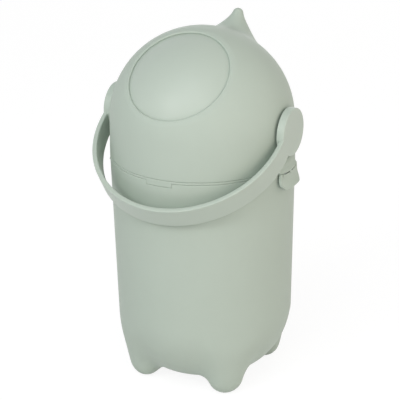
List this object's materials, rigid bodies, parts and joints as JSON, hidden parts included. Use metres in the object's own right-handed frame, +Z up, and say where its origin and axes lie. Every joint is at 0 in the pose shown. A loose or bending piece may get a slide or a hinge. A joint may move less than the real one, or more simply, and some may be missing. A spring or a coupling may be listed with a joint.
{
  "type": "nappy bin",
  "caption": "Tall tapered nappy bin on moulded legs, with a clipped domed lid, a bail handle that turns a hollow ball behind a round opening, and a bag ring under the lid.",
  "frame": {"origin": "floor level, at the middle of the overall length and width", "axes": "+Z up, +Y towards the back, front with the round opening and the hanging handle towards -Y, +X to the right as seen from the front"},
  "size_m": [0.2616, 0.265, 0.4742],
  "materials": {
    "shell": "fine satin moulded plastic, pale sage green",
    "bearing": "plain moulded plastic, paler green",
    "seal": "soft grey-green rubber",
    "steel": "plain zinc-plated steel"
  },
  "bodies": {
    "base": {"body_shell": "shell"},
    "ring": {"bag_ring": "shell"},
    "lid": {"dome_lid": "shell", "rim_seal": "seal", "opening_seal": "seal", "bush_left": "bearing", "bush_right": "bearing", "washer_left": "bearing", "washer_right": "bearing", "clip_pin_left": "steel", "clip_pin_right": "steel"},
    "turner": {"handle": "shell", "ball_cover": "shell", "ball_cup": "shell", "axle_left": "bearing", "axle_right": "bearing", "axle_screw_left": "steel", "axle_screw_right": "steel", "ball_screw_1": "steel", "ball_screw_2": "steel", "ball_screw_3": "steel", "ball_screw_4": "steel"},
    "left_clip": {"clip_left": "shell"},
    "right_clip": {"clip_right": "shell"}
  },
  "joints": [
    {"name": "lid_lift", "type": "slide", "parent": "base", "child": "lid", "axis": [0, 0, 1], "range_m": [0, 0.16]},
    {"name": "ring_lift", "type": "slide", "parent": "base", "child": "ring", "axis": [0, 0, 1], "range_m": [0, 0.056]},
    {"name": "handle_turn", "type": "hinge", "parent": "lid", "child": "turner", "pos_m": [0, 0.01254, 0.355], "axis": [-1, 0, 0], "range_deg": [0, 125]},
    {"name": "left_clip_swing", "type": "hinge", "parent": "lid", "child": "left_clip", "pos_m": [-0.12225, 0.01254, 0.3014], "axis": [0, 1, 0], "range_deg": [0, 55]},
    {"name": "right_clip_swing", "type": "hinge", "parent": "lid", "child": "right_clip", "pos_m": [0.12225, 0.01254, 0.3014], "axis": [0, -1, 0], "range_deg": [0, 55]}
  ],
  "couplings": [
    {"joint": "ring_lift", "follows": "lid_lift", "ratio": 0.35}
  ]
}
